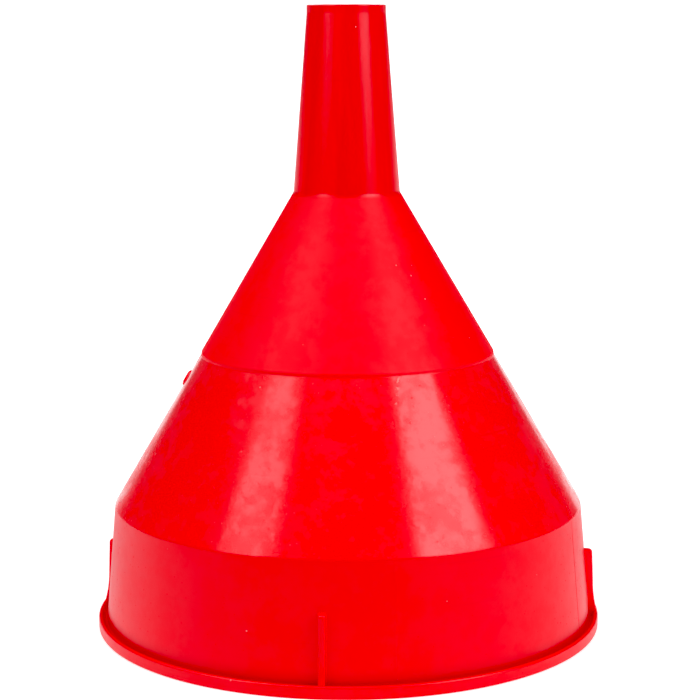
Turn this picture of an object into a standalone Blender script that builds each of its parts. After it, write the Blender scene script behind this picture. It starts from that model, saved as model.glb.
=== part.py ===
"""Moulded plastic funnel that stands on its mouth, with a lift-out strainer seated inside its cone.

Units are metres and +Z is up. The origin is the centre of the mouth rim's flat face, and +Z runs along
the funnel's axis towards the spout tip. The four stiffening ribs lie on the X and Y axes.
"""

import math

import bmesh
import bpy
from mathutils import Matrix, Vector

# Funnel body: outside shape, from the mouth to the spout tip
RIM_RADIUS = 0.0800
RIM_HEIGHT = 0.0039
RIM_PROJECTION = 0.00275
RIM_LIP = 0.0012
RIM_GROOVE = 0.0024
SHOULDER_HEIGHT = 0.0391
SKIRT_DRAFT = math.radians(5.06)
CONE_HALF_ANGLE = math.radians(30.5)
BAND_RADIUS = 0.0462
BAND_HEIGHT = 0.0008
SPOUT_FOOT_RADIUS = 0.01667
SPOUT_LENGTH = 0.0574
TIP_RADIUS = 0.01226
COLLAR_LENGTH = 0.0026

# Funnel body: walls and edges
WALL = 0.0016
TIP_WALL = 0.0013
SHOULDER_ROUND = 0.0018
SPOUT_FILLET = 0.0006
RIM_ROUND = 0.0005
FOOT_FILLET = 0.0004
EDGE_ROUND = 0.0003

# Funnel body: stiffening ribs on the skirt, and the gate mark on the lower cone
RIB_COUNT = 4
RIB_THICKNESS = 0.0021
RIB_TOP_HEIGHT = 0.0241
RIB_TOP_DEPTH = 0.0025
RIB_FLARE_DEPTH = 0.0020
RIB_FLARE_HEIGHT = 0.0100
RIB_TOP_ROUND = 0.0010
GATE_AZIMUTH = math.radians(184.0)
GATE_DROP = 0.0082
GATE_RADIUS = 0.0028
GATE_PROUD = 0.0007
GATE_SPOKES = 20
GATE_RINGS = 10

# Strainer seat inside the cone
LEDGE_DROP = 0.0025
LEDGE_WIDTH = 0.0015

# Strainer
CLEARANCE = 0.0003
CLAMP_THICKNESS = 0.0012
GAUZE_THICKNESS = 0.0004
FRAME_LIP = 0.0018
FRAME_FLOOR = 0.0018
FRAME_LAND = 0.0025
BAR_COUNT = 2
BAR_AZIMUTH = 0.0
BAR_WIDTH = 0.0024
TAB_WIDTH = 0.0140
TAB_THICKNESS = 0.0024
TAB_DEPTH = 0.0090
TAB_ROUND = 0.0030

# Mesh fineness
TURN_STEPS = 72
ARC_STEPS = 3
FLARE_STEPS = 5
SHARP_ANGLE = math.radians(32.0)

# Heights and radii that follow from the sizes above
SLOPE = math.tan(CONE_HALF_ANGLE)
CONE_WALL_ACROSS = WALL / math.cos(CONE_HALF_ANGLE)
SKIRT_FOOT_RADIUS = RIM_RADIUS - RIM_PROJECTION


def skirt_radius(z):
    """Outside radius of the skirt, which narrows from its foot on the rim to the shoulder."""
    return SKIRT_FOOT_RADIUS - (z - RIM_HEIGHT) * math.tan(SKIRT_DRAFT)


SHOULDER_RADIUS = skirt_radius(SHOULDER_HEIGHT)
BAND_FOOT_Z = SHOULDER_HEIGHT + (SHOULDER_RADIUS - BAND_RADIUS) / SLOPE
BAND_TOP_Z = BAND_FOOT_Z + BAND_HEIGHT


def lower_cone_radius(z):
    """Outside radius of the cone between the shoulder and the band."""
    return BAND_RADIUS + (BAND_FOOT_Z - z) * SLOPE


def upper_cone_height(radius):
    """Height at which the outside of the cone between the band and the spout has this radius."""
    return BAND_TOP_Z + (BAND_RADIUS - radius) / SLOPE


SPOUT_FOOT_Z = upper_cone_height(SPOUT_FOOT_RADIUS)
TIP_Z = SPOUT_FOOT_Z + SPOUT_LENGTH
COLLAR_Z = TIP_Z - COLLAR_LENGTH

# The strainer stacks down from the ledge inside the cone, one clearance below each surface it meets
LEDGE_Z = BAND_FOOT_Z - LEDGE_DROP
LEDGE_OUTER_RADIUS = lower_cone_radius(LEDGE_Z) - CONE_WALL_ACROSS
LEDGE_INNER_RADIUS = LEDGE_OUTER_RADIUS - LEDGE_WIDTH
SEAT_TOP_Z = LEDGE_Z - CLEARANCE
CLAMP_Z = SEAT_TOP_Z - CLAMP_THICKNESS
GAUZE_Z = CLAMP_Z - CLEARANCE - GAUZE_THICKNESS
FRAME_FLOOR_Z = GAUZE_Z - CLEARANCE
FRAME_FOOT_Z = FRAME_FLOOR_Z - FRAME_FLOOR


def material(name, color, roughness, metallic=0.0):
    made = bpy.data.materials.new(name)
    made.use_nodes = True
    shader = made.node_tree.nodes["Principled BSDF"]
    shader.inputs["Base Color"].default_value = (*color, 1.0)
    shader.inputs["Roughness"].default_value = roughness
    shader.inputs["Metallic"].default_value = metallic
    return made


def rounded(points, radii, steps=ARC_STEPS):
    """The closed outline with each corner of a radius above zero replaced by a tangent arc."""
    outline = []
    count = len(points)
    for i, radius in enumerate(radii):
        corner = Vector(points[i])
        if not radius:
            outline.append(corner)
            continue
        back = (Vector(points[i - 1]) - corner).normalized()
        ahead = (Vector(points[(i + 1) % count]) - corner).normalized()
        half = back.angle(ahead) / 2
        centre = corner + (back + ahead).normalized() * radius / math.sin(half)
        start = corner + back * radius / math.tan(half) - centre
        sweep = start.angle_signed(corner + ahead * radius / math.tan(half) - centre)
        for step in range(steps + 1):
            turn = Matrix.Rotation(-sweep * step / steps, 2)
            outline.append(centre + turn @ start)
    return outline


def object_from(name, mesh_data, made):
    mesh = bpy.data.meshes.new(name)
    mesh_data.to_mesh(mesh)
    mesh_data.free()
    mesh.materials.append(made)
    obj = bpy.data.objects.new(name, mesh)
    bpy.context.scene.collection.objects.link(obj)
    return obj


def turned(name, outline, made):
    """Solid of revolution about Z from a closed outline of (radius, height) points."""
    mesh_data = bmesh.new()
    verts = [mesh_data.verts.new((point[0], 0.0, point[1])) for point in outline]
    edges = [
        mesh_data.edges.new((first, second))
        for first, second in zip(verts, verts[1:] + verts[:1])
    ]
    bmesh.ops.spin(
        mesh_data,
        geom=verts + edges,
        cent=(0, 0, 0),
        axis=(0, 0, 1),
        angle=math.tau,
        steps=TURN_STEPS,
        use_merge=True,
    )
    bmesh.ops.recalc_face_normals(mesh_data, faces=mesh_data.faces)
    return object_from(name, mesh_data, made)


def plate(name, outline, thickness, made):
    """Flat plate: an outline of (x, z) points, extruded evenly to both sides of the XZ plane."""
    mesh_data = bmesh.new()
    verts = [mesh_data.verts.new((point[0], -thickness / 2, point[1])) for point in outline]
    face = mesh_data.faces.new(verts)
    made_by_extrude = bmesh.ops.extrude_face_region(mesh_data, geom=[face])
    moved = [item for item in made_by_extrude["geom"] if isinstance(item, bmesh.types.BMVert)]
    bmesh.ops.translate(mesh_data, verts=moved, vec=(0, thickness, 0))
    bmesh.ops.recalc_face_normals(mesh_data, faces=mesh_data.faces)
    return object_from(name, mesh_data, made)


def join(base, added):
    """Adds a shape to base with a live Boolean, and leaves the shape itself out of the model."""
    added.hide_render = True
    added.display_type = "WIRE"
    added.parent = base
    union = base.modifiers.new("Add " + added.name, "BOOLEAN")
    union.operation = "UNION"
    union.object = added


def smooth(obj):
    obj.data.shade_smooth()
    obj.data.set_sharp_from_angle(angle=SHARP_ANGLE)


def body_outline():
    """Outline of the funnel body: up the inside from the mouth, over the tip and down the outside."""
    skirt_inner_foot = SKIRT_FOOT_RADIUS - WALL
    shoulder_inner = SHOULDER_RADIUS - WALL
    shoulder_inner_z = SHOULDER_HEIGHT - WALL * math.tan(CONE_HALF_ANGLE / 2)
    ledge_top_z = upper_cone_height(LEDGE_INNER_RADIUS + CONE_WALL_ACROSS)
    bore_foot = SPOUT_FOOT_RADIUS - WALL
    bore_foot_z = upper_cone_height(bore_foot + CONE_WALL_ACROSS)
    groove_z = RIM_HEIGHT - RIM_GROOVE
    corners = (
        ((skirt_inner_foot, 0.0), EDGE_ROUND),
        ((shoulder_inner, shoulder_inner_z), SHOULDER_ROUND),
        ((LEDGE_OUTER_RADIUS, LEDGE_Z), 0.0),
        ((LEDGE_INNER_RADIUS, LEDGE_Z), 0.0),
        ((LEDGE_INNER_RADIUS, ledge_top_z), 0.0),
        ((bore_foot, bore_foot_z), SPOUT_FILLET + WALL),
        ((TIP_RADIUS - TIP_WALL, COLLAR_Z), 0.0),
        ((TIP_RADIUS - TIP_WALL, TIP_Z), EDGE_ROUND),
        ((TIP_RADIUS, TIP_Z), EDGE_ROUND),
        ((TIP_RADIUS, COLLAR_Z), 0.0),
        ((SPOUT_FOOT_RADIUS, SPOUT_FOOT_Z), SPOUT_FILLET),
        ((BAND_RADIUS, BAND_TOP_Z), 0.0),
        ((BAND_RADIUS, BAND_FOOT_Z), 0.0),
        ((SHOULDER_RADIUS, SHOULDER_HEIGHT), SHOULDER_ROUND),
        ((skirt_radius(groove_z), groove_z), FOOT_FILLET),
        ((RIM_RADIUS - RIM_LIP, RIM_HEIGHT), EDGE_ROUND),
        ((RIM_RADIUS, RIM_HEIGHT), RIM_ROUND),
        ((RIM_RADIUS, 0.0), RIM_ROUND),
    )
    return rounded([point for point, _ in corners], [radius for _, radius in corners])


def rib_outline():
    """Rib in the (radius, height) plane: its edge drops straight, then flares onto the rim as a parabola."""
    root = WALL / 2
    embed_z = RIM_HEIGHT / 2
    flare_z = RIM_HEIGHT + RIB_FLARE_HEIGHT
    flare_radius = skirt_radius(flare_z) + RIB_FLARE_DEPTH
    flare_reach = RIM_RADIUS - RIM_ROUND / 2 - flare_radius
    flare = []
    for step in range(FLARE_STEPS + 1):
        share = step / FLARE_STEPS
        flare.append((flare_radius + flare_reach * share**2, flare_z - RIB_FLARE_HEIGHT * share))
    corners = [
        (skirt_radius(embed_z) - root, embed_z),
        (skirt_radius(RIB_TOP_HEIGHT) - root, RIB_TOP_HEIGHT),
        (skirt_radius(RIB_TOP_HEIGHT) + RIB_TOP_DEPTH, RIB_TOP_HEIGHT),
        *flare,
        (flare[-1][0], embed_z),
    ]
    return rounded(corners, [0.0, 0.0, RIB_TOP_ROUND] + [0.0] * (len(flare) + 1))


def gate_mark(made):
    """Low round dome on the lower cone, where the moulding was filled."""
    z = BAND_FOOT_Z - GATE_DROP
    radius = lower_cone_radius(z)
    mesh_data = bmesh.new()
    bmesh.ops.create_uvsphere(mesh_data, u_segments=GATE_SPOKES, v_segments=GATE_RINGS, radius=1.0)
    outward = Vector((math.cos(CONE_HALF_ANGLE), 0.0, math.sin(CONE_HALF_ANGLE)))
    tilt = Vector((0, 0, 1)).rotation_difference(outward).to_matrix().to_4x4()
    place = Matrix.Translation((radius, 0.0, z)) @ tilt
    size = Matrix.Diagonal((GATE_RADIUS, GATE_RADIUS, GATE_PROUD, 1.0))
    bmesh.ops.transform(mesh_data, matrix=place @ size, verts=mesh_data.verts)
    turn = Matrix.Rotation(GATE_AZIMUTH, 4, "Z")
    bmesh.ops.transform(mesh_data, matrix=turn, verts=mesh_data.verts)
    return object_from("gate_mark", mesh_data, made)


def funnel_body(made):
    body = turned("funnel_body", body_outline(), made)
    for number in range(RIB_COUNT):
        rib = plate(f"rib_{number + 1}", rib_outline(), RIB_THICKNESS, made)
        rib.rotation_euler.z = math.tau * number / RIB_COUNT
        join(body, rib)
    join(body, gate_mark(made))
    smooth(body)
    return body


def frame_radius(z):
    """Outside radius of the strainer, which follows the inside of the lower cone at the clearance."""
    return lower_cone_radius(z) - CONE_WALL_ACROSS - CLEARANCE / math.cos(CONE_HALF_ANGLE)


RECESS_RADIUS = frame_radius(SEAT_TOP_Z) - FRAME_LIP
WINDOW_RADIUS = RECESS_RADIUS - FRAME_LAND


def rectangle(half_width, foot_z, top_z):
    """Corners of an upright rectangle about the axis, from its lower left, in (x, z)."""
    return ((-half_width, foot_z), (half_width, foot_z), (half_width, top_z), (-half_width, top_z))


def strainer_frame(made):
    """Conical ring with a recess for the gauze, crossed by two bars that carry the finger tab."""
    ring_outline = (
        (WINDOW_RADIUS, FRAME_FOOT_Z),
        (WINDOW_RADIUS, FRAME_FLOOR_Z),
        (RECESS_RADIUS, FRAME_FLOOR_Z),
        (RECESS_RADIUS, SEAT_TOP_Z),
        (frame_radius(SEAT_TOP_Z), SEAT_TOP_Z),
        (frame_radius(FRAME_FOOT_Z), FRAME_FOOT_Z),
    )
    frame = turned("strainer_frame", ring_outline, made)
    bar_corners = rectangle(WINDOW_RADIUS + FRAME_LAND / 2, FRAME_FOOT_Z, FRAME_FLOOR_Z)
    for number in range(BAR_COUNT):
        bar = plate(f"bar_{number + 1}", bar_corners, BAR_WIDTH, made)
        bar.rotation_euler.z = BAR_AZIMUTH + math.pi * number / BAR_COUNT
        join(frame, bar)
    tab_corners = rectangle(TAB_WIDTH / 2, FRAME_FOOT_Z - TAB_DEPTH, FRAME_FLOOR_Z)
    tab_outline = rounded(tab_corners, (TAB_ROUND, TAB_ROUND, 0.0, 0.0))
    tab = plate("tab", tab_outline, TAB_THICKNESS, made)
    tab.rotation_euler.z = BAR_AZIMUTH
    join(frame, tab)
    smooth(frame)
    return frame


def strainer_gauze(made):
    """Round of woven steel, as a plain disc of the weave's thickness."""
    mesh_data = bmesh.new()
    bmesh.ops.create_cone(
        mesh_data,
        cap_ends=True,
        segments=TURN_STEPS,
        radius1=RECESS_RADIUS - CLEARANCE,
        radius2=RECESS_RADIUS - CLEARANCE,
        depth=GAUZE_THICKNESS,
        matrix=Matrix.Translation((0, 0, GAUZE_Z + GAUZE_THICKNESS / 2)),
    )
    gauze = object_from("strainer_gauze", mesh_data, made)
    smooth(gauze)
    return gauze


def strainer_clamp_ring(made):
    """Flat ring pressed into the recess over the gauze, which traps the gauze by its edge."""
    outer = RECESS_RADIUS - CLEARANCE
    outline = (
        (WINDOW_RADIUS, CLAMP_Z),
        (WINDOW_RADIUS, SEAT_TOP_Z),
        (outer, SEAT_TOP_Z),
        (outer, CLAMP_Z),
    )
    ring = turned("strainer_clamp_ring", outline, made)
    smooth(ring)
    return ring


def main():
    for obj in list(bpy.data.objects):
        bpy.data.objects.remove(obj, do_unlink=True)
    red = material("red_polyethylene", (0.90, 0.002, 0.001), 0.34)
    white = material("white_polyethylene", (0.80, 0.79, 0.75), 0.45)
    steel = material("woven_steel", (0.62, 0.61, 0.59), 0.35, 1.0)
    funnel_body(red)
    strainer = bpy.data.objects.new("strainer_slide", None)
    strainer.location.z = SEAT_TOP_Z
    bpy.context.scene.collection.objects.link(strainer)
    bpy.context.view_layer.update()
    for piece in (strainer_frame(white), strainer_gauze(steel), strainer_clamp_ring(white)):
        piece.parent = strainer
        piece.matrix_parent_inverse = strainer.matrix_world.inverted()


main()
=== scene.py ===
import math

import bpy
import numpy as np
from mathutils import Matrix, Vector


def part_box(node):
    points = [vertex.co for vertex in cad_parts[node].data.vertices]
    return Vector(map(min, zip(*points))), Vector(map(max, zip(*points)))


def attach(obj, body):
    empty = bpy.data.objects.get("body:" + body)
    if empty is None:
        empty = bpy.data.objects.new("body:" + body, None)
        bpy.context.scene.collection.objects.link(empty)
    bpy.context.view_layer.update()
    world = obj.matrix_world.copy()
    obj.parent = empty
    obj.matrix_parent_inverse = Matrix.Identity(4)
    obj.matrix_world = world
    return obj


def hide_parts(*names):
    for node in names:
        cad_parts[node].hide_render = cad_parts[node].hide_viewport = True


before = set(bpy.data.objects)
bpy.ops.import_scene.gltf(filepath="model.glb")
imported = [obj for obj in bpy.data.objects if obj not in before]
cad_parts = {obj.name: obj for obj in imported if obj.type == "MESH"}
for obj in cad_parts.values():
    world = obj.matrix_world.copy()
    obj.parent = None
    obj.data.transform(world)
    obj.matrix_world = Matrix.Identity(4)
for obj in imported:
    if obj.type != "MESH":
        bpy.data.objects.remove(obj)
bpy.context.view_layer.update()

mm = 0.001


# A grid of points (rows, columns, xyz) as quads. Columns join end to start. Rows can join
# too, or be shut with one many-sided face at each end.
def gridMesh(name, points, rowsJoin=False, shutEnds=False, flip=False):
    rows, columns = points.shape[:2]
    index = np.arange(rows * columns).reshape(rows, columns)
    below = index if rowsJoin else index[:-1]
    above = np.roll(index, -1, axis=0) if rowsJoin else index[1:]
    nextBelow, nextAbove = np.roll(below, -1, axis=1), np.roll(above, -1, axis=1)
    quads = np.stack([below, nextBelow, nextAbove, above], axis=-1).reshape(-1, 4)
    faces = quads[:, ::-1].tolist() if flip else quads.tolist()
    if shutEnds:
        first, last = index[0].tolist(), index[-1].tolist()
        faces += [first, last[::-1]] if flip else [first[::-1], last]
    mesh = bpy.data.meshes.new(name)
    mesh.from_pydata(points.reshape(-1, 3), [], faces)
    mesh.shade_smooth()
    mesh.update()
    return mesh


# The mesh as a piece that rides on a body, stands for a CAD node and takes the material given.
def finishedPiece(name, mesh, material, body, node):
    mesh.materials.append(material)
    piece = bpy.data.objects.new(name, mesh)
    bpy.context.scene.collection.objects.link(piece)
    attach(piece, body)
    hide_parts(node)


# Each corner is (across, up, round). An arc of that round, tangent to both sides, takes the
# corner's place; a round of nothing keeps the corner sharp.
def roundedOutline(corners, arcSteps=5, closed=True):
    points = []
    count = len(corners)
    for number, (across, up, radius) in enumerate(corners):
        corner = np.array([across, up])
        atEnd = not closed and number in (0, count - 1)
        if not radius or atEnd:
            points.append(corner[None])
            continue
        back = np.array(corners[number - 1][:2]) - corner
        ahead = np.array(corners[(number + 1) % count][:2]) - corner
        back, ahead = back / np.linalg.norm(back), ahead / np.linalg.norm(ahead)
        half = math.acos(np.clip(back @ ahead, -1, 1)) / 2
        middle = (back + ahead) / np.linalg.norm(back + ahead)
        centre = corner + middle * radius / math.sin(half)
        turn = np.linspace(-1, 1, arcSteps + 1)[:, None] * (math.pi / 2 - half)
        side = (ahead - back) / np.linalg.norm(ahead - back)
        points.append(centre + radius * (side * np.sin(turn) - middle * np.cos(turn)))
    return np.concatenate(points)


# Long straight sides get points between, no further apart than the stride, with one close to
# each end so that smooth shading keeps the side flat right up to its rounded edge.
def spacedOutline(outline, stride, nearEnd, closed=True):
    pieces = []
    following = np.roll(outline, -1, axis=0) if closed else outline[1:]
    for start, end in zip(outline, following):
        length = np.linalg.norm(end - start)
        shares = [0.0]
        if length > 4 * nearEnd:
            steps = max(1, round((length - 2 * nearEnd) / stride))
            shares = [0.0, *np.linspace(nearEnd, length - nearEnd, steps + 1) / length]
        pieces.append(start + np.array(shares)[:, None] * (end - start))
    if not closed:
        pieces.append(outline[-1:])
    return np.concatenate(pieces)


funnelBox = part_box("funnel_body")
funnel = {
    "rimRadius": funnelBox[1].x,
    "tipHeight": funnelBox[1].z,
    "rimHeight": 3.9 * mm,
    "rimProjection": 2.75 * mm,
    "rimLip": 1.2 * mm,
    "rimGroove": 2.4 * mm,
    "shoulderHeight": 39.1 * mm,
    "shoulderRound": 1.8 * mm,
    "skirtDraft": math.radians(5.06),
    "coneHalfAngle": math.radians(30.5),
    "bandRadius": 46.2 * mm,
    "bandHeight": 0.8 * mm,
    "spoutFootRadius": 16.67 * mm,
    "spoutLength": 57.4 * mm,
    "tipRadius": 12.26 * mm,
    "collarLength": 2.6 * mm,
    "wall": 1.6 * mm,
    "tipWall": 1.3 * mm,
    "ledgeDrop": 2.5 * mm,
    "ledgeWidth": 1.5 * mm,
    "rimFootRound": 0.5 * mm,
    "rimRound": 0.6 * mm,
    "lipRound": 0.45 * mm,
    "grooveRound": 0.4 * mm,
    "bandRound": 1.2 * mm,
    "spoutFootRound": 1.6 * mm,
    "mouthRound": 0.3 * mm,
    "tipRound": 0.3 * mm,
    "ledgeRound": 0.15 * mm,
    "boreFootRound": 2.2 * mm,
    "ripple": 0.05 * mm,
    "cutDip": 0.06 * mm,
    "segments": 640,
}
slope = math.tan(funnel["coneHalfAngle"])
skirtFootRadius = funnel["rimRadius"] - funnel["rimProjection"]


# Outside of the skirt: its foot on the rim, less the draft over the height above the rim.
def skirtRadius(height):
    return skirtFootRadius - (height - funnel["rimHeight"]) * math.tan(funnel["skirtDraft"])


shoulderRadius = skirtRadius(funnel["shoulderHeight"])
bandFoot = funnel["shoulderHeight"] + (shoulderRadius - funnel["bandRadius"]) / slope
bandTop = bandFoot + funnel["bandHeight"]
spoutFoot = bandTop + (funnel["bandRadius"] - funnel["spoutFootRadius"]) / slope
collarFoot = funnel["tipHeight"] - funnel["collarLength"]
wallAcross = funnel["wall"] / math.cos(funnel["coneHalfAngle"])


# Outside of the lower cone: the band's radius plus the slope times the depth below the band.
def lowerConeRadius(height):
    return funnel["bandRadius"] + (bandFoot - height) * slope


# The funnel wall as corners of (radius, height, round), up the outside and down the inside.
def funnelOutline():
    wall = funnel["wall"]
    ledgeHeight = bandFoot - funnel["ledgeDrop"]
    ledgeOuter = lowerConeRadius(ledgeHeight) - wallAcross
    ledgeInner = ledgeOuter - funnel["ledgeWidth"]
    ledgeTop = bandTop + (funnel["bandRadius"] - ledgeInner - wallAcross) / slope
    boreFoot = funnel["spoutFootRadius"] - wall
    boreFootHeight = bandTop + (funnel["bandRadius"] - boreFoot - wallAcross) / slope
    boreTip = funnel["tipRadius"] - funnel["tipWall"]
    shoulderHeight = funnel["shoulderHeight"]
    shoulderDrop = wall * math.tan(funnel["coneHalfAngle"] / 2)
    grooveFoot = funnel["rimHeight"] - funnel["rimGroove"]
    return roundedOutline([
        (funnel["rimRadius"], 0.0, funnel["rimFootRound"]),
        (funnel["rimRadius"], funnel["rimHeight"], funnel["rimRound"]),
        (funnel["rimRadius"] - funnel["rimLip"], funnel["rimHeight"], funnel["lipRound"]),
        (skirtRadius(grooveFoot), grooveFoot, funnel["grooveRound"]),
        (shoulderRadius, shoulderHeight, funnel["shoulderRound"]),
        (funnel["bandRadius"], bandFoot, funnel["bandRound"]),
        (funnel["bandRadius"], bandTop, funnel["bandRound"]),
        (funnel["spoutFootRadius"], spoutFoot, funnel["spoutFootRound"]),
        (funnel["tipRadius"], collarFoot, 0.0),
        (funnel["tipRadius"], funnel["tipHeight"], funnel["tipRound"]),
        (boreTip, funnel["tipHeight"], funnel["tipRound"]),
        (boreTip, collarFoot, 0.0),
        (boreFoot, boreFootHeight, funnel["boreFootRound"]),
        (ledgeInner, ledgeTop, 2 * funnel["ledgeRound"]),
        (ledgeInner, ledgeHeight, funnel["ledgeRound"]),
        (ledgeOuter, ledgeHeight, funnel["ledgeRound"]),
        (shoulderRadius - wall, shoulderHeight - shoulderDrop, funnel["shoulderRound"]),
        (skirtFootRadius - wall, 0.0, funnel["mouthRound"]),
    ], arcSteps=4)


# Where the mould's halves met on the skirt: turn about Z, depth and half width of each line.
# The widest line's half width also spaces the extra turns beside every line.
partingLines = {
    "right": {"turn": math.radians(-17.4), "depth": 0.14 * mm, "halfWidth": 0.16 * mm},
    "left": {"turn": math.radians(162.6), "depth": 0.10 * mm, "halfWidth": 0.16 * mm},
    "front": {"turn": math.radians(-74.1), "depth": -0.05 * mm, "halfWidth": 0.14 * mm},
}


# Even turns about Z, with a few more on each side of every parting line.
def shellTurns():
    even = np.linspace(0, math.tau, funnel["segments"], endpoint=False)
    widest = max(line["halfWidth"] for line in partingLines.values())
    beside = np.linspace(-2, 2, 9) * widest / shoulderRadius
    lines = [line["turn"] % math.tau + beside for line in partingLines.values()]
    near = np.abs(even[:, None] - np.concatenate(lines)[None, :]).min(axis=1)
    even = even[near > 0.0015]
    return np.sort(np.concatenate([even, *lines]))[None, :]


# The outline turned about Z: x and y are the radius times the cosine and sine of the turn.
# The radius dips by a slow ripple and by a bell curve across each parting line, and the
# spout's cut edge dips by a quicker ripple.
def funnelShell(material):
    outline = spacedOutline(funnelOutline(), stride=4.0 * mm, nearEnd=0.25 * mm)
    turn = shellTurns()
    radius, height = outline[:, :1], outline[:, 1:]
    outside = np.arange(len(outline))[:, None] <= np.argmax(outline[:, 1])
    ripple = 1 + 0.5 * np.sin(2 * turn + 0.7) + 0.5 * np.sin(3 * turn + height / (19 * mm))
    deep = funnel["ripple"] * ripple * (height > funnel["rimHeight"])
    onSkirt = np.clip((funnel["shoulderHeight"] - height) / (2 * mm), 0, 1)
    onSkirt = onSkirt * (height > funnel["rimHeight"]) * outside
    for line in partingLines.values():
        aside = (turn - line["turn"] % math.tau) * shoulderRadius / line["halfWidth"]
        deep = deep + line["depth"] * onSkirt * np.exp(-(aside**2))
    radius = radius - deep
    nearTip = np.clip((height - funnel["tipHeight"] + 1.0 * mm) / (1.0 * mm), 0, 1)
    ragged = 1.7 + np.sin(turn + 2.6) + 0.35 * np.sin(7 * turn) + 0.25 * np.sin(17 * turn + 1)
    height = height - funnel["cutDip"] * nearTip * ragged
    points = np.stack(
        [radius * np.cos(turn), radius * np.sin(turn), height + 0 * turn], axis=-1
    )
    mesh = gridMesh("funnel_shell", points, rowsJoin=True)
    print("funnel shell:", len(outline), "points round the wall,", len(mesh.polygons), "faces")
    finishedPiece("funnel_shell", mesh, material, "funnel", "funnel_body")


gate = {
    "turn": math.radians(184), "drop": 8.2 * mm, "radius": 2.8 * mm, "proud": 0.7 * mm,
    "lipShare": 0.28, "lipPlace": 0.6, "lipWidth": 0.2, "buried": 0.6 * mm,
    "rings": 14, "spokes": 48,
}


# The gate mark in rings about its middle: its height off the cone is a dome, the square root
# of one less the fourth power of the share out, plus a bell for the raised lip. Its last ring
# is in the wall.
def gateMark(material):
    out = np.linspace(0.05, 1, gate["rings"])
    lip = np.exp(-((out - gate["lipPlace"]) / gate["lipWidth"]) ** 2)
    stand = (1 - gate["lipShare"]) * np.sqrt(1 - out**4) + gate["lipShare"] * lip
    stand = np.append(gate["proud"] * stand, -gate["buried"])[:, None]
    out = np.append(out, 1.0)[:, None]
    spoke = np.linspace(0, math.tau, gate["spokes"], endpoint=False)[None, :]
    middle = bandFoot - gate["drop"]
    cosine, sine = math.cos(funnel["coneHalfAngle"]), math.sin(funnel["coneHalfAngle"])
    height = middle + gate["radius"] * out * np.sin(spoke) * cosine
    turn = gate["turn"] + gate["radius"] * out * np.cos(spoke) / lowerConeRadius(middle)
    radius = lowerConeRadius(height) + stand * cosine
    points = np.stack(
        [radius * np.cos(turn), radius * np.sin(turn), height + stand * sine], axis=-1
    )
    mesh = gridMesh("gate_mark", points, shutEnds=True, flip=True)
    finishedPiece("gate_mark", mesh, material, "funnel", "funnel_body")


rib = {
    "count": 4,
    "thickness": 2.1 * mm,
    "topHeight": 24.1 * mm,
    "topDepth": 2.5 * mm,
    "topRound": 1.0 * mm,
    "flareDepth": 2.0 * mm,
    "flareHeight": 10.0 * mm,
    "edgeRound": 0.6 * mm,
    "rootFillet": 0.15 * mm,
    "leastRound": 0.02 * mm,
    "rimInset": 0.25 * mm,
    "topRise": 0.1 * mm,
    "topBuried": 0.7 * mm,
    "sideBuried": 0.8 * mm,
}


# The rib's edge runs up from the rim as a parabola, on up straight, round the top corner and
# in to the skirt.
def ribOutline():
    flareTop = funnel["rimHeight"] + rib["flareHeight"]
    flareRadius = skirtRadius(flareTop) + rib["flareDepth"]
    flareReach = funnel["rimRadius"] - rib["rimInset"] - flareRadius
    share = np.linspace(1, 0, 9)
    flare = np.stack([
        flareRadius + flareReach * share**2, flareTop - rib["flareHeight"] * share,
        0 * share,
    ], axis=1)
    top = rib["topHeight"]
    corners = [
        (flare[0, 0], funnel["rimHeight"] / 4, 0.0),
        *flare.tolist(),
        (skirtRadius(top) + rib["topDepth"], top, rib["topRound"]),
        (skirtRadius(top) - rib["topBuried"], top + rib["topRise"], 0.0),
    ]
    return spacedOutline(roundedOutline(corners, 6, closed=False), 1.5 * mm, 0.2 * mm, False)


# Across the rib at each point of its edge: out of the wall, over the root fillet, up the
# side, round the edge and down the other side. Depth runs from the edge in to the skirt.
def ribMesh(name, azimuth):
    outline = ribOutline()
    skirt = skirtRadius(outline[:, 1])
    depth = np.maximum(outline[:, 0] - skirt, -rib["topBuried"])[:, None]
    half, least = rib["thickness"] / 2, rib["leastRound"]
    bend = np.linspace(0, math.pi / 2, 6)[None, :]
    edgeRound = np.clip(depth * 0.45, least, rib["edgeRound"])
    edgeAcross = half - edgeRound + edgeRound * np.sin(bend)
    edgeOut = depth - edgeRound + edgeRound * np.cos(bend)
    filletRound = np.clip(depth * 0.5, least, rib["rootFillet"])
    filletAcross = half + filletRound * (1 - np.cos(bend))
    filletOut = np.minimum(filletRound * (1 - np.sin(bend)) - 0.03 * mm, depth)
    foot = np.full_like(depth, -rib["sideBuried"])
    across = np.concatenate([edgeAcross, filletAcross, filletAcross[:, -1:]], axis=1)
    out = np.concatenate([edgeOut, filletOut, foot], axis=1)
    across = np.concatenate([-across[:, ::-1], across], axis=1)
    out = np.concatenate([out[:, ::-1], out], axis=1)
    radius = np.sqrt(np.maximum(skirt[:, None] ** 2 - across**2, 0)) + out
    height = np.repeat(outline[:, 1:], across.shape[1], axis=1)
    x = radius * math.cos(azimuth) - across * math.sin(azimuth)
    y = radius * math.sin(azimuth) + across * math.cos(azimuth)
    return gridMesh(name, np.stack([x, y, height], axis=-1), shutEnds=True)


def stiffeningRibs(material):
    for number in range(rib["count"]):
        name = f"stiffening_rib_{number + 1}"
        mesh = ribMesh(name, math.tau * number / rib["count"])
        finishedPiece(name, mesh, material, "funnel", "funnel_body")
    print("ribs:", rib["count"])


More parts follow.
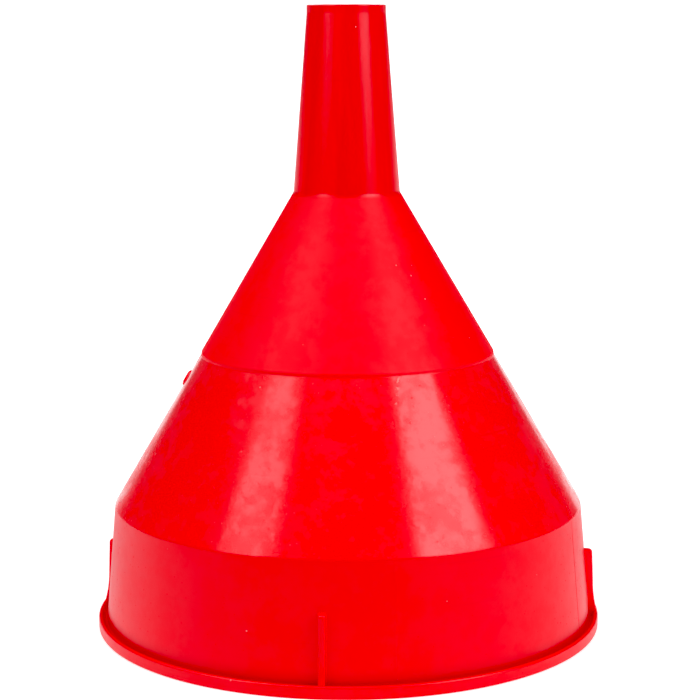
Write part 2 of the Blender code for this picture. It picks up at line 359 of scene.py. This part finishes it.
strainer = {
    "clearance": 0.3 * mm,
    "seatDrop": 0.3 * mm,
    "ringDepth": 4.0 * mm,
    "floorDepth": 1.8 * mm,
    "lip": 1.8 * mm,
    "land": 2.5 * mm,
    "edgeRound": 0.35 * mm,
    "bars": 2,
    "barWidth": 2.4 * mm,
    "tabWidth": 14.0 * mm,
    "tabThickness": 2.4 * mm,
    "tabDepth": 9.0 * mm,
    "tabRound": 3.0 * mm,
    "clampThickness": 1.2 * mm,
    "segments": 288,
}
seatTop = bandFoot - funnel["ledgeDrop"] - strainer["seatDrop"]
ringFoot = seatTop - strainer["ringDepth"]
floorTop = ringFoot + strainer["floorDepth"]


# Outside of the strainer ring: the inside of the lower cone less the clearance.
def ringRadius(height):
    gap = strainer["clearance"] / math.cos(funnel["coneHalfAngle"])
    return lowerConeRadius(height) - wallAcross - gap


recessRadius = ringRadius(seatTop) - strainer["lip"]
windowRadius = recessRadius - strainer["land"]
clampOuter = recessRadius - strainer["clearance"]


# A closed section of (radius, height) turned about Z in even steps.
def turnedMesh(name, outline):
    turn = np.linspace(0, math.tau, strainer["segments"], endpoint=False)[None, :]
    radius, height = outline[:, :1], outline[:, 1:]
    points = np.stack(
        [radius * np.cos(turn), radius * np.sin(turn), height + 0 * turn], axis=-1
    )
    return gridMesh(name, points, rowsJoin=True)


# The ring's section, up the sloping outside, over the lip, down into the recess and across
# the land to the window, turned about Z.
def strainerRing(material):
    edge = strainer["edgeRound"]
    outline = roundedOutline([
        (ringRadius(ringFoot), ringFoot, edge),
        (ringRadius(seatTop), seatTop, edge),
        (recessRadius, seatTop, edge),
        (recessRadius, floorTop, 0.2 * mm),
        (windowRadius, floorTop, edge),
        (windowRadius, ringFoot, edge),
    ])
    mesh = turnedMesh("strainer_ring", spacedOutline(outline, 2.0 * mm, 0.2 * mm))
    finishedPiece(
        "strainer_ring", mesh, material, "strainer", "strainer_frame"
    )


# The clamp ring's flat section with softened edges, turned about Z.
def strainerClamp(material):
    edge = strainer["edgeRound"]
    foot = seatTop - strainer["clampThickness"]
    outline = roundedOutline([
        (clampOuter, foot, edge),
        (clampOuter, seatTop, edge),
        (windowRadius, seatTop, edge),
        (windowRadius, foot, edge),
    ])
    mesh = turnedMesh("clamp_ring", spacedOutline(outline, 2.0 * mm, 0.2 * mm))
    finishedPiece(
        "clamp_ring", mesh, material, "strainer", "strainer_clamp_ring"
    )


# A rounded bar section carried straight across the window from land to land, then turned
# about Z. Each bar is a hair smaller than the one before, so their faces never coincide.
def strainerBars(material):
    reach = windowRadius + strainer["land"] / 2
    along = np.linspace(-reach, reach, 41)[:, None]
    for number in range(strainer["bars"]):
        shy = 0.04 * mm * (number + 1)
        half, edge = strainer["barWidth"] / 2 - shy, strainer["edgeRound"]
        section = roundedOutline([
            (half, ringFoot + shy, edge),
            (half, floorTop - shy, edge),
            (-half, floorTop - shy, edge),
            (-half, ringFoot + shy, edge),
        ])
        across, up = section[None, :, 0], section[None, :, 1]
        angle = math.pi * number / strainer["bars"]
        x = along * math.cos(angle) - across * math.sin(angle)
        y = along * math.sin(angle) + across * math.cos(angle)
        name = f"strainer_bar_{number + 1}"
        mesh = gridMesh(name, np.stack([x, y, up + 0 * along], axis=-1), shutEnds=True)
        finishedPiece(
            name, mesh, material, "strainer", "strainer_frame"
        )


# The pull tab's outline in XZ, shrunk by a quarter circle toward each face, stacked through
# the tab's thickness.
def pullTab(material):
    edge, half = strainer["edgeRound"] * 1.4, strainer["tabThickness"] / 2
    bend = np.linspace(0, math.pi / 2, 6)
    shrink = edge * (1 - np.sin(bend))
    stand = half - edge + edge * np.cos(bend)
    shrink = np.concatenate([shrink, shrink[::-1]])
    stand = np.concatenate([stand, -stand[::-1]])
    wide, low = strainer["tabWidth"] / 2, ringFoot - strainer["tabDepth"]
    rows = []
    for inset, out in zip(shrink, stand):
        section = roundedOutline([
            (wide - inset, low + inset, strainer["tabRound"] - inset),
            (wide - inset, floorTop - 0.12 * mm, 0.0),
            (inset - wide, floorTop - 0.12 * mm, 0.0),
            (inset - wide, low + inset, strainer["tabRound"] - inset),
        ], arcSteps=8)
        rows.append(np.insert(section, 1, out, axis=1))
    mesh = gridMesh("pull_tab", np.array(rows), shutEnds=True)
    finishedPiece(
        "pull_tab", mesh, material, "strainer", "strainer_frame"
    )


gauze = {"pitch": 1.5 * mm, "wireRadius": 0.1 * mm}


# Round wires in two directions at one pitch. Each wire's height is a cosine of the distance
# along it, one wire radius high, so it goes over one crossing wire and under the next, and
# its neighbour does the opposite. The lowest crossing stands the clearance off the ring's floor.
def wovenGauze(material):
    pitch, thick = gauze["pitch"], gauze["wireRadius"]
    middle = floorTop + strainer["clearance"] + 2 * thick
    reach = clampOuter - thick
    most = math.floor(reach / pitch)
    corner = math.tau * (np.arange(4) + 0.5) / 4
    points, faces, used = [], [], 0
    for direction in range(2):
        for wire in range(-most, most + 1):
            half = math.sqrt(reach**2 - (wire * pitch) ** 2)
            steps = math.floor(half / (pitch / 2))
            along = np.arange(-steps, steps + 1) * pitch / 2
            rise = thick * np.cos(math.pi * along / pitch) * (1 if (wire + direction) % 2 else -1)
            side = wire * pitch + thick * np.cos(corner)[None, :] + 0 * along[:, None]
            up = middle + rise[:, None] + thick * np.sin(corner)[None, :]
            along = along[:, None] + 0 * side
            ends = (side, along) if direction else (along, side)
            ring = np.stack([*ends, up], axis=-1)
            points.append(ring.reshape(-1, 3))
            index = used + np.arange(ring.shape[0] * 4).reshape(-1, 4)
            ahead, turned = index[1:], np.roll(index, -1, axis=1)
            quads = np.stack([index[:-1], turned[:-1], turned[1:], ahead], axis=-1)
            quads = np.concatenate([quads.reshape(-1, 4), [index[0, ::-1], index[-1]]])
            faces.append(quads[:, ::-1] if direction else quads)
            used += ring.shape[0] * 4
    mesh = bpy.data.meshes.new("gauze_wires")
    mesh.from_pydata(np.concatenate(points), [], np.concatenate(faces).tolist())
    mesh.shade_smooth()
    mesh.update()
    print("gauze:", 2 * (2 * most + 1), "wires,", len(mesh.polygons), "faces")
    finishedPiece(
        "gauze_wires", mesh, material, "strainer", "strainer_gauze"
    )


# A node with its settings and its sockets: a socket is given a value, or another node's socket.
def addNode(tree, kind, settings=None, sockets=None):
    made = tree.nodes.new(kind)
    for key, value in (settings or {}).items():
        setattr(made, key, value)
    for key, value in (sockets or {}).items():
        if isinstance(value, bpy.types.NodeSocket):
            tree.links.new(value, made.inputs[key])
        else:
            made.inputs[key].default_value = value
    return made


def mathNode(tree, operation, *values, clamp=False):
    settings = {"operation": operation, "use_clamp": clamp}
    return addNode(tree, "ShaderNodeMath", settings, dict(enumerate(values))).outputs[0]


def noise(tree, vector, scale, detail=3.0, roughness=0.55):
    sockets = {"Vector": vector, "Scale": scale, "Detail": detail, "Roughness": roughness}
    return addNode(tree, "ShaderNodeTexNoise", None, sockets).outputs["Fac"]


# The value carried from one range to another, held at both ends unless it may run on.
def remap(tree, value, fromLow, fromHigh, toLow, toHigh, smooth=False):
    settings = {"interpolation_type": "SMOOTHSTEP" if smooth else "LINEAR"}
    sockets = {
        "Value": value, "From Min": fromLow, "From Max": fromHigh,
        "To Min": toLow, "To Max": toHigh,
    }
    return addNode(tree, "ShaderNodeMapRange", settings, sockets).outputs["Result"]


# Cells of a scatter: each cell's sockets, and three values that differ from cell to cell.
def scatter(tree, vector, scale):
    sockets = {"Vector": vector, "Scale": scale}
    cells = addNode(tree, "ShaderNodeTexVoronoi", {"feature": "F1"}, sockets).outputs
    return cells, addNode(tree, "ShaderNodeSeparateColor", None, {0: cells["Color"]}).outputs


def mixColours(tree, share, first, second):
    mixed = addNode(tree, "ShaderNodeMix", {"data_type": "RGBA"})
    for key, value in ((0, share), (6, first), (7, second)):
        if isinstance(value, bpy.types.NodeSocket):
            tree.links.new(value, mixed.inputs[key])
        else:
            mixed.inputs[key].default_value = value
    return mixed.outputs[2]


def newMaterial(name):
    material = bpy.data.materials.new(name)
    material.use_nodes = True
    tree = material.node_tree
    return material, tree, tree.nodes["Principled BSDF"]


# Bumps one on top of another: each is (height map, strength, distance), and a negative
# strength presses in.
def joinBumps(tree, shader, bumps):
    normal = None
    for level, strength, distance in bumps:
        sockets = {"Strength": abs(strength), "Distance": distance, "Height": level}
        if normal:
            sockets["Normal"] = normal
        bump = addNode(tree, "ShaderNodeBump", {"invert": strength < 0}, sockets)
        normal = bump.outputs["Normal"]
    tree.links.new(normal, shader.inputs["Normal"])


redPlastic = {
    "clean": (0.95, 0.0005, 0.001, 1.0),
    "hazy": (0.95, 0.026, 0.027, 1.0),
    # Darker red painted as shade on the skirt's foot behind the rim's lip.
    "paintedShadeColour": (0.75, 0.0, 0.0008, 1.0),
    "deep": (0.86, 0.0, 0.0008, 1.0),
    "dust": (1.0, 0.30, 0.27, 1.0),
    # Paler pink painted along the top of the spout.
    "paleTipColour": (0.95, 0.22, 0.20, 1.0),
    "spoutRoughness": 0.30,
    "upperConeRoughness": 0.53,
    "lowerConeRoughness": 0.16,
    "skirtRoughness": 0.32,
    "dulling": (-0.02, 0.13),
    "hazeScale": 260,
    "blotchScale": 70,
    "streakScale": 900,
    "ribbonScale": 150,
    "turningScale": 700,
    "speckScale": 230,
    "crumbScale": 700,
    "pinholeScale": 620,
    "grainScale": 1100,
    "wavinessScale": 160,
    "witnessHeight": 59.5 * mm,
    "witnessHalfWidth": 0.25 * mm,
    "witnessTurn": math.radians(-110),
    # The painted shade behind the lip: how far up the skirt it reaches, and how far in from the
    # rim's outer edge it stops.
    "paintedShadeReach": 5.0 * mm,
    "paintedShadeEdge": 0.7 * mm,
}
scuffLine = {
    "turn": math.radians(-68.7), "lean": math.radians(3.2), "from": 79.0 * mm,
    "to": 86.0 * mm, "halfWidth": 0.8 * mm,
}


# Red polyethylene: each zone up the funnel has the polish of its part of the mould, under
# flow haze, turning marks, streaks along the spout, pinholes, specks, one scuff, and painted
# shade behind the rim's lip.
def redPolyethylene():
    material, tree, shader = newMaterial("red_polyethylene_moulded")
    place = addNode(tree, "ShaderNodeTexCoord").outputs["Object"]
    parts = addNode(tree, "ShaderNodeSeparateXYZ", None, {0: place}).outputs
    height = parts["Z"]
    polish = redPlastic

    def zone(edge, below, above, width=0.4 * mm):
        return remap(tree, height, edge - width, edge + width, below, above)

    def stretched(scale):
        mapping = addNode(
            tree, "ShaderNodeMapping", {"vector_type": "POINT"}, {"Vector": place, "Scale": scale}
        )
        return mapping.outputs[0]

    haze = noise(tree, place, polish["hazeScale"], 5, 0.68)
    blotch = noise(tree, place, polish["blotchScale"], 2, 0.5)
    streaks = noise(tree, stretched((1, 1, 0.03)), polish["streakScale"], 3, 0.6)
    ribbons = noise(tree, stretched((1, 1, 0.02)), polish["ribbonScale"], 2, 0.5)
    turning = noise(tree, stretched((0.02, 0.02, 1)), polish["turningScale"], 3, 0.65)
    onSpout = zone(spoutFoot - 0.5 * mm, 0.0, 1.0)

    # A few cells of a scatter hold one speck each; the scuff runs up one line of the cone.
    cells, chosen = scatter(tree, place, polish["speckScale"])
    speck = mathNode(
        tree, "MULTIPLY", remap(tree, cells["Distance"], 0.03, 0.07, 1.0, 0.0),
        remap(tree, chosen["Red"], 0.86, 0.90, 0.0, 1.0),
    )
    turn = mathNode(tree, "ARCTAN2", parts["Y"], parts["X"])
    climb = scuffLine["lean"] / (scuffLine["to"] - scuffLine["from"])
    start = scuffLine["turn"] - scuffLine["from"] * climb
    line = mathNode(tree, "MULTIPLY_ADD", height, climb, start)
    aside = mathNode(tree, "ABSOLUTE", mathNode(tree, "SUBTRACT", turn, line))
    scuff = remap(tree, aside, 0, scuffLine["halfWidth"] / funnel["bandRadius"], 1.0, 0.0)
    inside = mathNode(
        tree, "MULTIPLY", zone(scuffLine["from"], 0.0, 1.0), zone(scuffLine["to"], 1.0, 0.0)
    )
    scuff = mathNode(tree, "MULTIPLY", scuff, inside)
    crumbs = noise(tree, place, polish["crumbScale"], 3)
    broken = remap(tree, crumbs, 0.50, 0.56, 0.0, 1.0)
    scuff = mathNode(tree, "MULTIPLY", scuff, broken)
    dust = mathNode(tree, "MAXIMUM", speck, scuff)

    # Pinholes sit in some cells of a finer scatter.
    dimples, picked = scatter(tree, place, polish["pinholeScale"])
    pits = mathNode(
        tree, "MULTIPLY", remap(tree, dimples["Distance"], 0.06, 0.20, 1.0, 0.0),
        remap(tree, picked["Green"], 0.66, 0.72, 0.0, 1.0),
    )
    pits = mathNode(tree, "MULTIPLY", pits, zone(bandFoot, 1.0, 0.25))

    # The witness line is a thin ridge of height and fades out at both ends of a short turn.
    fromMiddle = mathNode(
        tree, "ABSOLUTE", mathNode(tree, "SUBTRACT", turn, polish["witnessTurn"])
    )
    shortLine = remap(tree, fromMiddle, math.radians(4), math.radians(9), 1.0, 0.0)
    level, halfWidth = polish["witnessHeight"], polish["witnessHalfWidth"]
    ridge = mathNode(tree, "MULTIPLY", *[
        remap(tree, height, level + side * halfWidth, level, 0.0, 1.0) for side in (-1, 1)
    ])
    witness = mathNode(tree, "MULTIPLY", shortLine, ridge)

    rough = zone(funnel["shoulderHeight"], polish["skirtRoughness"], polish["lowerConeRoughness"])
    upper = polish["upperConeRoughness"] - polish["lowerConeRoughness"]
    rough = mathNode(tree, "ADD", rough, zone(bandFoot, 0.0, upper))
    spout = polish["spoutRoughness"] - polish["upperConeRoughness"]
    rough = mathNode(tree, "ADD", rough, mathNode(tree, "MULTIPLY", onSpout, spout))
    cloudy = mathNode(tree, "MULTIPLY_ADD", blotch, 0.8, haze)
    dulling = remap(tree, cloudy, 0.82, 1.04, *polish["dulling"])
    onLowerCone = mathNode(
        tree, "MULTIPLY", zone(funnel["shoulderHeight"], 0.2, 1.0), zone(bandFoot, 1.0, 0.2)
    )
    rough = mathNode(tree, "ADD", rough, mathNode(tree, "MULTIPLY", dulling, onLowerCone))
    rough = mathNode(tree, "MULTIPLY_ADD", pits, 0.40, rough)
    rough = mathNode(tree, "MULTIPLY_ADD", dust, 0.3, rough, clamp=True)
    tree.links.new(rough, shader.inputs["Roughness"])

    share = remap(tree, cloudy, 0.98, 0.82, 0.0, 1.0)
    share = mathNode(tree, "MULTIPLY_ADD", pits, -0.7, share, clamp=True)
    share = mathNode(tree, "MULTIPLY", share, onLowerCone)
    colour = mixColours(tree, share, polish["clean"], polish["hazy"])
    colour = mixColours(tree, remap(tree, turning, 0.62, 0.8, 0.0, 0.5), colour, polish["deep"])
    drawn = mathNode(tree, "MULTIPLY", remap(tree, ribbons, 0.42, 0.58, 0.0, 1.0), onSpout)
    colour = mixColours(tree, drawn, colour, polish["deep"])
    # The top few tenths of a millimetre of the spout are painted a paler pink.
    paleTipShare = zone(funnel["tipHeight"] - 0.3 * mm, 0.0, 0.8, 0.2 * mm)
    colour = mixColours(tree, paleTipShare, colour, polish["paleTipColour"])
    colour = mixColours(tree, dust, colour, polish["dust"])

    # Painted shade: the skirt is darkened behind the rim's lip, where the lip keeps the floor's
    # light off, and the darkening thins out up the skirt.
    paintedShadeTop = funnel["rimHeight"] + polish["paintedShadeReach"]
    low = remap(tree, height, funnel["rimHeight"], paintedShadeTop, 1.0, 0.0)
    flat = addNode(tree, "ShaderNodeVectorMath", {"operation": "MULTIPLY"}, {
        0: place, 1: (1.0, 1.0, 0.0),
    }).outputs["Vector"]
    radius = addNode(
        tree, "ShaderNodeVectorMath", {"operation": "LENGTH"}, {0: flat}
    ).outputs["Value"]
    lipTop = funnel["rimRadius"] - polish["paintedShadeEdge"]
    behindLip = remap(tree, radius, lipTop - 0.3 * mm, lipTop, 1.0, 0.0)
    outside = remap(
        tree, radius, skirtFootRadius - 1.0 * mm, skirtFootRadius - 0.8 * mm, 0.0, 1.0
    )
    paintedShadeShare = mathNode(tree, "MULTIPLY", mathNode(tree, "POWER", low, 2.0), behindLip)
    paintedShadeShare = mathNode(tree, "MULTIPLY", paintedShadeShare, outside)
    colour = mixColours(tree, paintedShadeShare, colour, polish["paintedShadeColour"])
    tree.links.new(colour, shader.inputs["Base Color"])

    joinBumps(tree, shader, (
        (noise(tree, place, polish["grainScale"], 2), 0.10, 0.08 * mm),
        (noise(tree, place, polish["wavinessScale"], 3), 0.22, 0.25 * mm),
        (turning, 0.10, 0.05 * mm),
        (mathNode(tree, "MULTIPLY", streaks, onSpout), 0.35, 0.06 * mm),
        (mathNode(tree, "MULTIPLY", ribbons, onSpout), 0.5, 0.5 * mm),
        (pits, -0.35, 0.06 * mm),
        (witness, -0.35, 0.06 * mm),
        (dust, 0.60, 0.20 * mm),
    ))
    shader.inputs["IOR"].default_value = 1.51
    return material


whitePlastic = {
    "clean": (0.80, 0.79, 0.745, 1.0), "stained": (0.70, 0.62, 0.50, 1.0),
    "smoothest": 0.34, "roughest": 0.52,
}


# Milky polyethylene with a light stain in patches, fine mould grain and a soft waviness.
def whitePolyethylene():
    material, tree, shader = newMaterial("white_polyethylene_moulded")
    place = addNode(tree, "ShaderNodeTexCoord").outputs["Object"]
    patches = noise(tree, place, 130, 4, 0.6)
    grain = noise(tree, place, 1800, 2)
    stain = remap(tree, patches, 0.55, 0.80, 0.0, 0.45)
    colour = mixColours(tree, stain, whitePlastic["clean"], whitePlastic["stained"])
    tree.links.new(colour, shader.inputs["Base Color"])
    rough = remap(
        tree, patches, 0.3, 0.7, whitePlastic["smoothest"], whitePlastic["roughest"]
    )
    tree.links.new(rough, shader.inputs["Roughness"])
    joinBumps(tree, shader, (
        (grain, 0.12, 0.05 * mm), (noise(tree, place, 240, 2), 0.15, 0.15 * mm),
    ))
    shader.inputs["IOR"].default_value = 1.51
    shader.inputs["Subsurface Weight"].default_value = 0.12
    shader.inputs["Subsurface Radius"].default_value = (1.0, 0.9, 0.7)
    shader.inputs["Subsurface Scale"].default_value = 1.5 * mm
    return material


wireSteel = {
    "bright": (0.66, 0.65, 0.63, 1.0), "dull": (0.42, 0.40, 0.37, 1.0),
    "smoothest": 0.22, "roughest": 0.42,
}


# Drawn stainless wire: bright metal that dulls in patches, with fine drawing marks.
def gauzeSteel():
    material, tree, shader = newMaterial("gauze_stainless_steel")
    place = addNode(tree, "ShaderNodeTexCoord").outputs["Object"]
    tarnish = noise(tree, place, 90, 4, 0.6)
    marks = noise(tree, place, 4200, 2)
    share = remap(tree, tarnish, 0.42, 0.72, 0.0, 1.0)
    colour = mixColours(tree, share, wireSteel["bright"], wireSteel["dull"])
    tree.links.new(colour, shader.inputs["Base Color"])
    rough = remap(tree, tarnish, 0.3, 0.7, wireSteel["smoothest"], wireSteel["roughest"])
    tree.links.new(rough, shader.inputs["Roughness"])
    joinBumps(tree, shader, ((marks, 0.2, 0.01 * mm),))
    shader.inputs["Metallic"].default_value = 1.0
    return material


stage = {
    "floorRadius": 60.0, "floorDrop": 0.05 * mm, "white": 0.80, "roughness": 0.9,
    "lift": (0.5, 1.0), "liftReach": (0.08, 0.5),
    "sideGlow": 0.15, "sideReach": (-0.9, -0.45),
    "behindGlow": 0.46, "behindReach": (0.65, 0.95),
    "nearGlow": 0.16, "nearReach": (0.085, 0.125),
}


# A white floor, clear from underneath. Looked at directly it whitens with distance; what the
# object sees of it is brighter beside and behind, and close under the rim.
def paleFloor():
    ring = np.linspace(0, math.tau, 96, endpoint=False)
    rim = np.stack([np.cos(ring), np.sin(ring), 0 * ring], axis=-1) * stage["floorRadius"]
    mesh = bpy.data.meshes.new("floor")
    mesh.from_pydata(rim - np.array([0, 0, stage["floorDrop"]]), [], [list(range(len(rim)))])
    material, tree, shader = newMaterial("pale_floor")
    white = (stage["white"],) * 3 + (1.0,)
    shader.inputs["Base Color"].default_value = white
    shader.inputs["Roughness"].default_value = stage["roughness"]
    shader.inputs["Emission Color"].default_value = (1, 1, 1, 1)
    direct = addNode(tree, "ShaderNodeLightPath").outputs["Is Camera Ray"]
    place = addNode(tree, "ShaderNodeTexCoord").outputs["Object"]
    away = addNode(tree, "ShaderNodeVectorMath", {"operation": "LENGTH"}, {0: place})
    lift = remap(
        tree, away.outputs["Value"], *stage["liftReach"], *stage["lift"], smooth=True
    )
    back = addNode(tree, "ShaderNodeSeparateXYZ", None, {0: place}).outputs["Y"]
    toward = mathNode(tree, "DIVIDE", back, away.outputs["Value"])
    glow = mathNode(
        tree, "ADD", remap(tree, toward, *stage["sideReach"], 0.0, stage["sideGlow"]),
        remap(tree, toward, *stage["behindReach"], 0.0, stage["behindGlow"], smooth=True),
    )
    near = remap(tree, away.outputs["Value"], *stage["nearReach"], stage["nearGlow"], 0.0)
    glow = mathNode(tree, "ADD", glow, near)
    lift = addNode(tree, "ShaderNodeMix", None, {0: direct, 2: glow, 3: lift}).outputs[0]
    tree.links.new(lift, shader.inputs["Emission Strength"])
    clear = addNode(tree, "ShaderNodeBsdfTransparent")
    under = addNode(tree, "ShaderNodeNewGeometry").outputs["Backfacing"]
    mixed = addNode(tree, "ShaderNodeMixShader", None, {
        0: under, 1: shader.outputs[0], 2: clear.outputs[0],
    })
    tree.links.new(mixed.outputs[0], tree.nodes["Material Output"].inputs["Surface"])
    mesh.materials.append(material)
    floor = bpy.data.objects.new("floor", mesh)
    bpy.context.scene.collection.objects.link(floor)


camera = {
    "distance": 0.590, "height": 0.1826, "azimuth": 5.6, "pitch": 9.18, "roll": -0.21,
    "lens": 97.1, "shiftX": 0.0037,
}


# Axes of a viewpoint: right and up square to the sight line, turned by the roll.
def viewAxes(azimuth, pitch, roll=0.0):
    turn, dip, lean = map(math.radians, (azimuth, pitch, roll))
    ahead = Vector((
        -math.sin(turn) * math.cos(dip), math.cos(turn) * math.cos(dip), -math.sin(dip)
    ))
    right = Vector((math.cos(turn), math.sin(turn), 0))
    up = right.cross(ahead)
    rolledRight = right * math.cos(lean) + up * math.sin(lean)
    rolledUp = up * math.cos(lean) - right * math.sin(lean)
    return Matrix((rolledRight, rolledUp, -ahead)).transposed().to_4x4()


def placeCamera():
    data = bpy.data.cameras.new("camera")
    data.sensor_width = 36
    data.lens = camera["lens"]
    data.shift_x = camera["shiftX"]
    data.clip_start = 0.01
    seen = bpy.data.objects.new("camera", data)
    turn = math.radians(camera["azimuth"])
    place = Matrix.Translation((
        camera["distance"] * math.sin(turn), -camera["distance"] * math.cos(turn),
        camera["height"],
    ))
    seen.matrix_world = place @ viewAxes(camera["azimuth"], camera["pitch"], camera["roll"])
    bpy.context.scene.collection.objects.link(seen)
    bpy.context.scene.camera = seen


softboxes = {
    "left": {
        "azimuth": -54, "elevation": 32, "lean": 8, "distance": 1.1, "size": (0.45, 0.84),
        "glow": 2.7,
    },
    "right": {
        "azimuth": 56, "elevation": 31, "lean": -18, "distance": 1.1, "size": (0.62, 0.85),
        "glow": 4.0,
    },
    "fill": {
        "azimuth": -104, "elevation": 58, "lean": 0, "distance": 1.1, "size": (1.3, 1.2),
        "glow": 0.8,
    },
}


# Each softbox stands round the object's middle and faces it.
def placeSoftboxes():
    middle = Vector((0, 0, funnel["tipHeight"] / 2))
    for name, box in softboxes.items():
        data = bpy.data.lights.new("softbox_" + name, "AREA")
        data.shape = "ELLIPSE"
        data.size, data.size_y = box["size"]
        data.energy = box["glow"] * math.pi * math.pi * data.size * data.size_y / 4
        lamp = bpy.data.objects.new("softbox_" + name, data)
        facing = viewAxes(
            camera["azimuth"] + box["azimuth"], box["elevation"], box["lean"]
        )
        lamp.matrix_world = Matrix.Translation(middle) @ facing @ Matrix.Translation(
            (0, 0, box["distance"])
        )
        lamp.visible_camera = False
        bpy.context.scene.collection.objects.link(lamp)


surroundings = {
    "behind": 0.18, "front": 0.29, "turnOver": (-0.15, 0.35),
    "above": 1.3, "aboveReach": (0.7, 0.95), "seen": 1.2,
}


# White behind the object and dim in front of it; whatever is looked at directly is white.
def paintSurroundings():
    world = bpy.data.worlds.new("studio")
    world.use_nodes = True
    tree = world.node_tree
    ground = tree.nodes["Background"]
    sight = addNode(tree, "ShaderNodeTexCoord").outputs["Generated"]
    toward = addNode(tree, "ShaderNodeSeparateXYZ", None, {0: sight}).outputs
    level = remap(
        tree, toward["Y"], *surroundings["turnOver"],
        surroundings["front"], surroundings["behind"], smooth=True,
    )
    ceiling = remap(
        tree, toward["Z"], *surroundings["aboveReach"], 0.0, surroundings["above"], smooth=True
    )
    glow = mathNode(tree, "ADD", level, ceiling)
    direct = addNode(tree, "ShaderNodeLightPath").outputs["Is Camera Ray"]
    strength = mathNode(tree, "MAXIMUM", glow, mathNode(
        tree, "MULTIPLY", direct, surroundings["seen"]
    ))
    tree.links.new(strength, ground.inputs["Strength"])
    ground.inputs["Color"].default_value = (1, 1, 1, 1)
    bpy.context.scene.world = world


film = {"blackLevel": (0.0, 0.05, 0.035)}


# Plain colour, with a little taken off the dark end of green and blue as a camera does in
# a strong red.
def developFilm():
    view = bpy.context.scene.view_settings
    view.view_transform = "Standard"
    view.look = "None"
    view.use_curve_mapping = True
    view.curve_mapping.black_level = film["blackLevel"]
    view.curve_mapping.update()


red = redPolyethylene()
funnelShell(red)
stiffeningRibs(red)
gateMark(red)

white = whitePolyethylene()
strainerRing(white)
strainerBars(white)
pullTab(white)
strainerClamp(white)
wovenGauze(gauzeSteel())
print("strainer: ring, bars, tab, clamp ring and gauze are in place")

paleFloor()
placeSoftboxes()
paintSurroundings()
placeCamera()
developFilm()
print("stage, lights and camera are in place")
